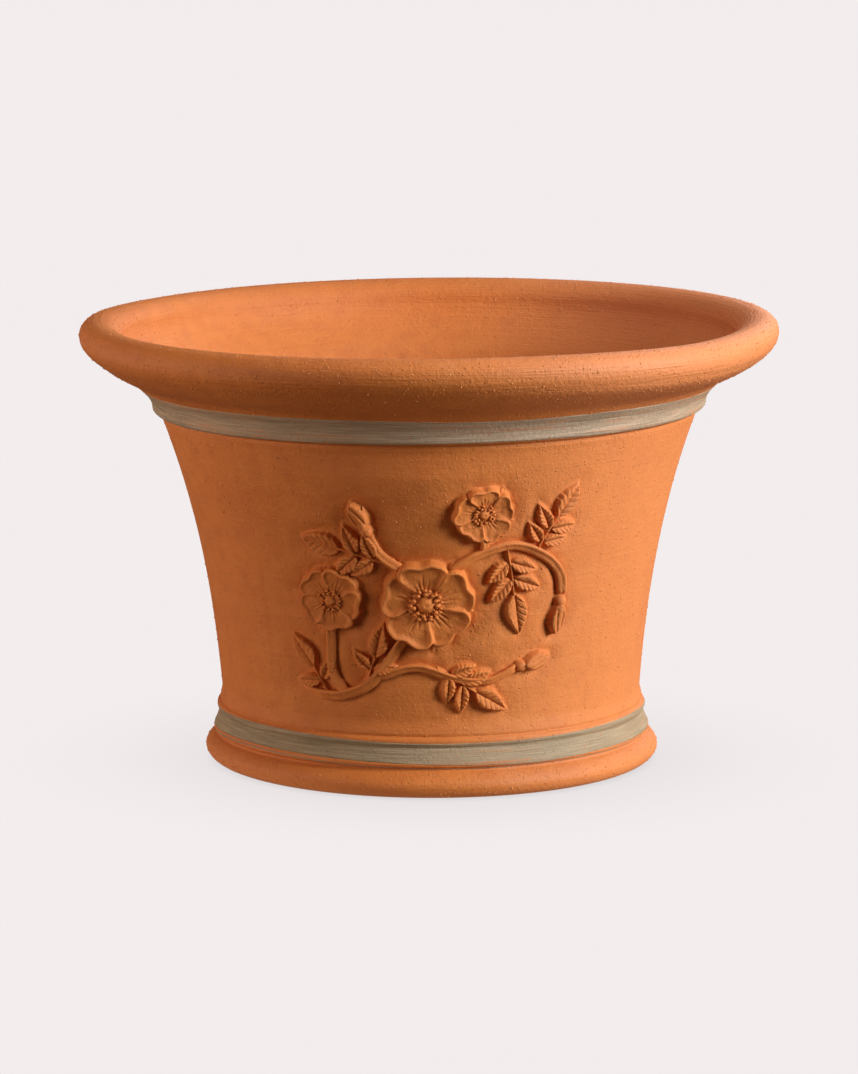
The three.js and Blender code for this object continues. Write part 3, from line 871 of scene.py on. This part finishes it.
def coil_path(name, path, radius, slim_start):
    """The path as a chain of edges that carries which way is out and how thick the coil is."""
    across, height = path.T
    run = runs(path)
    tucked = 1 - np.clip(np.minimum(run, run[-1] - run) / 4, 0, 1)
    seat = on_wall(across, height, -1.2 * radius * tucked ** 2)
    out = on_wall(across, height, np.ones(len(path))) - on_wall(across, height, np.zeros(len(path)))
    girth = radius * (1.05 - 0.15 * run / run[-1]) * np.clip(slim_start + run / 30, 0, 1)
    mesh = bpy.data.meshes.new(name)
    mesh.from_pydata((seat * MM).tolist(), [(i, i + 1) for i in range(len(path) - 1)], [])
    mesh.attributes.new("out", "FLOAT_VECTOR", "POINT").data.foreach_set("vector", out.ravel())
    mesh.attributes.new("girth", "FLOAT", "POINT").data.foreach_set("value", girth)
    return mesh


def coil_section():
    """The coil's cross section, one unit in radius: a half round on a flared foot."""
    a = np.radians(np.linspace(8, 172, 13))
    top = np.column_stack([np.cos(a), 1.2 * np.sin(a)])
    foot = [(1.5, -0.72), (1.16, -0.4), (1.02, 0.0)]
    points = np.vstack([foot, top, [(-x, y) for x, y in foot[::-1]], [(-1.4, -1.3), (1.4, -1.3)]])
    curve = bpy.data.curves.new("coil_section", "CURVE")
    spline = curve.splines.new("POLY")
    spline.points.add(len(points) - 1)
    for point, (x, y) in zip(spline.points, points):
        point.co = (x * MM, y * MM, 0, 1)
    spline.use_cyclic_u = True
    return bpy.data.objects.new("coil_section", curve)


def coil_tree():
    """A section swept along a path, thick or thin as the path says, then made a little uneven."""
    tree, given, result = node_group(
        "lay_coil", Section="Object", Unevenness="Float", Material="Material")
    out = add(tree, "GeometryNodeInputNamedAttribute", {"Name": "out"}, data_type="FLOAT_VECTOR")
    girth = add(tree, "GeometryNodeInputNamedAttribute", {"Name": "girth"}, data_type="FLOAT")
    path = add(tree, "GeometryNodeMeshToCurve", {0: given["Geometry"]})
    held_up = add(tree, "GeometryNodeSetCurveNormal", {"Curve": path, "Normal": out}, mode="FREE")
    section = add(tree, "GeometryNodeObjectInfo", {"Object": given["Section"]})
    swept = add(tree, "GeometryNodeCurveToMesh", {
        "Curve": held_up, "Profile Curve": section.outputs["Geometry"],
        "Scale": girth, "Fill Caps": True})
    lumps = add(tree, "ShaderNodeTexNoise", {"Scale": 160.0, "Detail": 2.0})
    rise = add(tree, "ShaderNodeMath", {0: lumps, 1: 0.5}, operation="SUBTRACT")
    rise = summed(tree, (rise, given["Unevenness"]))
    shift = add(tree, "ShaderNodeVectorMath", {
        0: add(tree, "GeometryNodeInputNormal"), "Scale": rise}, operation="SCALE")
    uneven_coil = add(tree, "GeometryNodeSetPosition", {"Geometry": swept, "Offset": shift})
    return clad(tree, uneven_coil, given, result)


def side_of_coil(path, radius):
    """A function of places on the wall that gives their distance to the side of a coil."""
    wide, tall = scales_at(path[:, 1].mean())
    spots = path[::2]

    def distance(across, height):
        right, up = across[:, None] - spots[:, 0], height[:, None] - spots[:, 1]
        return np.hypot(right * wide, up * tall).min(1) - radius

    return distance


coils = {
    "branch_lower": (2.5, 0.4, [(-80, 61), (-66, 56), (-50, 57), (-32, 67), (-12, 94)]),
    "branch_upper": (2.3, 1.0, [(10, 130), (26, 140), (44, 144), (62, 137), (73, 125), (76, 112)]),
    "stalk_medium_rose": (2.0, 1.0, [(-47, 56), (-57, 70), (-57, 97)]),
    "stalk_small_rose": (1.9, 1.0, [(28, 139), (29, 146), (27, 153)]),
    "stalk_top_bud": (1.9, 1.0, [(-12, 130), (-25, 140), (-31, 153)]),
    "stalk_low_bud": (1.9, 1.0, [(-30, 68), (-8, 74), (16, 67), (34, 66), (51, 73)]),
}
lay_coil = coil_tree()
section = coil_section()
for node, (radius, slim_start, route) in coils.items():
    path = route_on_wall(route)
    coil = finished(node + "_coil", coil_path(node + "_path", path, radius, slim_start), lay_coil, {
        "Section": section, "Unevenness": 0.0008, "Material": pressed_clay})
    add_piece(node + "_rolled", coil, pressed_clay, "sprig_clay", node)
    laid_so_far.append((0.8, side_of_coil(path, radius)))
bpy.data.objects.remove(section)


# ---- Tooled ground ----
# The wall under the relief, still the pot's own clay. Once the relief is on, it is thumbed and
# tooled down round each piece, which presses the edges home and sets the piece off.

def sunk(across, height):
    """How deep the wall lies at places round the relief, in millimetres."""
    deepest = np.zeros_like(across)
    for depth, distance_to in laid_so_far:
        deepest = np.maximum(deepest, depth * tooled(distance_to(across, height)))
    return deepest * (1 + 0.35 * uneven(across, height, 5, (7.0, 10.0, 14.0, 21.0)))


on_bell = (outside[:, 1] > WALL_FOOT[1] + 1) & (outside[:, 1] < WALL_TOP + 1)
in_front = np.abs(np.degrees(turns)) < 46
across, height = np.meshgrid(turns[in_front] * RELIEF_RADIUS, outside[on_bell, 1])
depths = sunk(across.ravel(), height.ravel())
ground = on_wall(across.ravel(), height.ravel(), -depths)
pot_points[np.ix_(np.flatnonzero(on_bell), in_front)] = ground.reshape(*across.shape, 3)
pot_mesh.vertices.foreach_set("co", (pot_points * MM).ravel())
pot_mesh.update()


# ---- Grog at the surface ----
# Crushed fired clay, mixed in so that the pot dries without cracking. The coarsest grains stand
# a little proud of the skin all over, where the sponge washed the fine clay off them.

def grog_tree():
    """Grains of a few faces, scattered over a surface and sunk halfway into it."""
    tree, given, result = node_group(
        "scatter_grog", Spacing="Float", Density="Float", Smallest="Float", Largest="Float",
        RollFrom="Float", RollFull="Float", OnWall="Float", Inside="Float", LipTop="Float",
        Foot="Float", Seed="Int", Material="Material")
    place = add(tree, "GeometryNodeInputPosition")
    height = add(tree, "ShaderNodeSeparateXYZ", {0: place}).outputs["Z"]
    # Most grains show on the roll and on the foot's lip, fewer on the wall and inside
    roll = add(tree, "ShaderNodeMapRange", {
        "Value": height, "From Min": given["RollFrom"], "From Max": given["RollFull"],
        "To Min": given["OnWall"]})
    lip = add(tree, "ShaderNodeMath", {0: height, 1: given["LipTop"]}, operation="LESS_THAN")
    zone = add(tree, "ShaderNodeMath", {0: roll, 1: lip}, operation="MAXIMUM")
    outwards = add(tree, "ShaderNodeVectorMath", {0: place, 1: (1, 1, 0)}, operation="MULTIPLY")
    turned_out = add(tree, "ShaderNodeVectorMath", {
        0: outwards, 1: add(tree, "GeometryNodeInputNormal")}, operation="DOT_PRODUCT")
    outer = add(tree, "ShaderNodeMapRange", {
        "Value": turned_out.outputs["Value"], "From Min": -0.02, "From Max": 0.02,
        "To Min": given["Inside"]})
    clear = add(tree, "ShaderNodeMath", {0: height, 1: given["Foot"]}, operation="GREATER_THAN")
    share = summed(tree, (summed(tree, (zone, outer)), clear))
    spots = add(tree, "GeometryNodeDistributePointsOnFaces", {
        "Mesh": given["Geometry"], "Distance Min": given["Spacing"], "Density Max": given["Density"],
        "Density Factor": share, "Seed": given["Seed"]}, distribute_method="POISSON")
    grain = add(tree, "GeometryNodeMeshIcoSphere", {"Radius": 1.0, "Subdivisions": 1})
    size = add(tree, "FunctionNodeRandomValue", {
        2: given["Smallest"], 3: given["Largest"], "Seed": given["Seed"]}).outputs[1]
    flatter = add(tree, "ShaderNodeMath", {0: size, 1: 0.85}, operation="MULTIPLY")
    grain_size = add(tree, "ShaderNodeCombineXYZ", {0: size, 1: size, 2: flatter})
    placed = add(tree, "GeometryNodeInstanceOnPoints", {
        "Points": spots, "Instance": grain, "Rotation": spots.outputs["Rotation"],
        "Scale": grain_size})
    return clad(tree, placed, given, result)


def grog_clay():
    """The grog itself: harder fired clay, a little paler than the body and dusty."""
    material, tree, place = new_material("pale_grog")
    mottle = add(tree, "ShaderNodeTexNoise", {
        "Vector": place, "Scale": 1 / (3.03 * MM), "Detail": 1.0})
    colour = layered(tree, "#c56b2d", (mottle, 0.4, 0.6, 1.0, "#d68a55"))
    surfaced(tree, colour, relief=0.0, roughness=0.9, gloss=0.3)
    return material


pale_grog = grog_clay()
grog_mesh = finished("grog_grains", pot_mesh, grog_tree(), {
    "Spacing": 1.8 * MM, "Density": 46000.0, "Smallest": 0.2 * MM, "Largest": 0.6 * MM,
    "RollFrom": ROLL_FROM * MM, "RollFull": (ROLL_FROM + 12) * MM, "OnWall": 0.26, "Inside": 0.45,
    "LipTop": 15 * MM, "Foot": 1.2 * MM, "Seed": 11, "Material": pale_grog})
add_piece("grog_grains", grog_mesh, pale_grog, "terracotta")


# ---- Studio ----
# A seamless pale cove lit evenly from edge to edge, one broad softbox on the right, weaker ones
# over and behind the rim, and three cards that lift the shadows. The lens is long.

COVE_FLAT = 20.0
COVE_BEND = 10.0
COVE_TOP = 25.0
FLOOR_REACH = 21.0
FLOOR_TOP = -0.0003
cove_side = COVE_FLAT + COVE_BEND
cove_profile = np.vstack([
    arc((COVE_FLAT, COVE_BEND), (COVE_BEND, COVE_BEND), -90, 0, 12),
    [(cove_side, COVE_BEND), (cove_side, COVE_TOP)],
])
cove_points = turned(cove_profile / MM, np.linspace(0, 2 * np.pi, 96, endpoint=False))
cove_mesh = grid_mesh("cove", cove_points[:, ::-1], close_across=False)
floor_mesh = bpy.data.meshes.new("floor")
floor_corners = [(x * FLOOR_REACH, y * FLOOR_REACH, FLOOR_TOP)
                 for x, y in ((-1, -1), (1, -1), (1, 1), (-1, 1))]
floor_mesh.from_pydata(floor_corners, [], [(0, 1, 2, 3)])
# The paper glows a plain off-white, with a painted contact shadow: a little dimmer where the pot's
# foot stands close to it
paper, paper_tree, _ = new_material("pale_paper")
near = add(paper_tree, "ShaderNodeAmbientOcclusion", {"Distance": 0.12}, samples=8)
shade = add(paper_tree, "ShaderNodeMapRange", {"Value": near.outputs["AO"], "To Min": 0.8})
glow = add(paper_tree, "ShaderNodeEmission", {"Color": linear("#f3eded"), "Strength": shade})
add(paper_tree, "ShaderNodeOutputMaterial", {"Surface": glow})
for name, mesh in (("floor", floor_mesh), ("cove", cove_mesh)):
    paper_sheet = put_in(name, mesh)
    mesh.materials.append(paper)
    paper_sheet.visible_diffuse = False
    paper_sheet.visible_glossy = False
    paper_sheet.visible_shadow = False


LIT_AT = np.array([0, 0, 0.16])
LIGHTS_AWAY = 1.5


def glowing(name, shape, size, power):
    """An area light of so many metres and watts, which the camera doesn't see."""
    lamp = bpy.data.lights.new(name, "AREA")
    lamp.shape = shape
    lamp.size = size
    lamp.energy = power
    light = put_in(name, lamp)
    light.visible_camera = False
    return light


def soft_light(name, azimuth, elevation, width, power, colour, gloss=True):
    """A square softbox aimed at the pot; azimuth 0 is in front and 90 on the right."""
    light = glowing(name, "SQUARE", width, power)
    light.data.color = linear(colour)[:3]
    a, e = math.radians(azimuth), math.radians(elevation)
    way = np.array([math.sin(a) * math.cos(e), -math.cos(a) * math.cos(e), math.sin(e)])
    light.location = LIT_AT + way * LIGHTS_AWAY
    light.rotation_euler = (math.radians(90) - e, 0, a)
    light.visible_glossy = gloss


soft_light("key", 63, 20, 0.6, 44, "#dff0ff")
soft_light("top", 90, 79, 0.6, 9, "#f2f6ff")
soft_light("rim", 150, 27, 0.7, 7.5, "#f4f8ff")
soft_light("low_card", 95, -26, 0.6, 5.4, "#fff2dc", gloss=False)
soft_light("fill_card", -66, 3, 0.9, 11, "#fff5ea")
soft_light("edge_card", -112, 6, 0.7, 3.6, "#fff5ea")

# The paper beside the foot throws light up onto its lip
bounce = glowing("paper_bounce", "DISK", 0.31, 0.075)
bounce.location = (0.012, 0, 0.0002)
bounce.rotation_euler = (math.radians(180), 0, 0)

world = bpy.data.worlds.new("studio")
world.use_nodes = True
background = world.node_tree.nodes["Background"]
background.inputs["Color"].default_value = linear("#fff4e4")
background.inputs["Strength"].default_value = 0.072
bpy.context.scene.world = world
bpy.context.scene.view_settings.view_transform = "Standard"

LENS = 176.514
CAMERA_DISTANCE = 3.0
CAMERA_HEIGHT = 0.626
CAMERA_PITCH = 9.437
view = bpy.data.cameras.new("long_lens")
view.sensor_width = 36
view.lens = LENS
camera = put_in("camera", view)
camera.location = (0, -CAMERA_DISTANCE, CAMERA_HEIGHT)
camera.rotation_euler = (math.radians(90 - CAMERA_PITCH), 0, 0)
bpy.context.scene.camera = camera
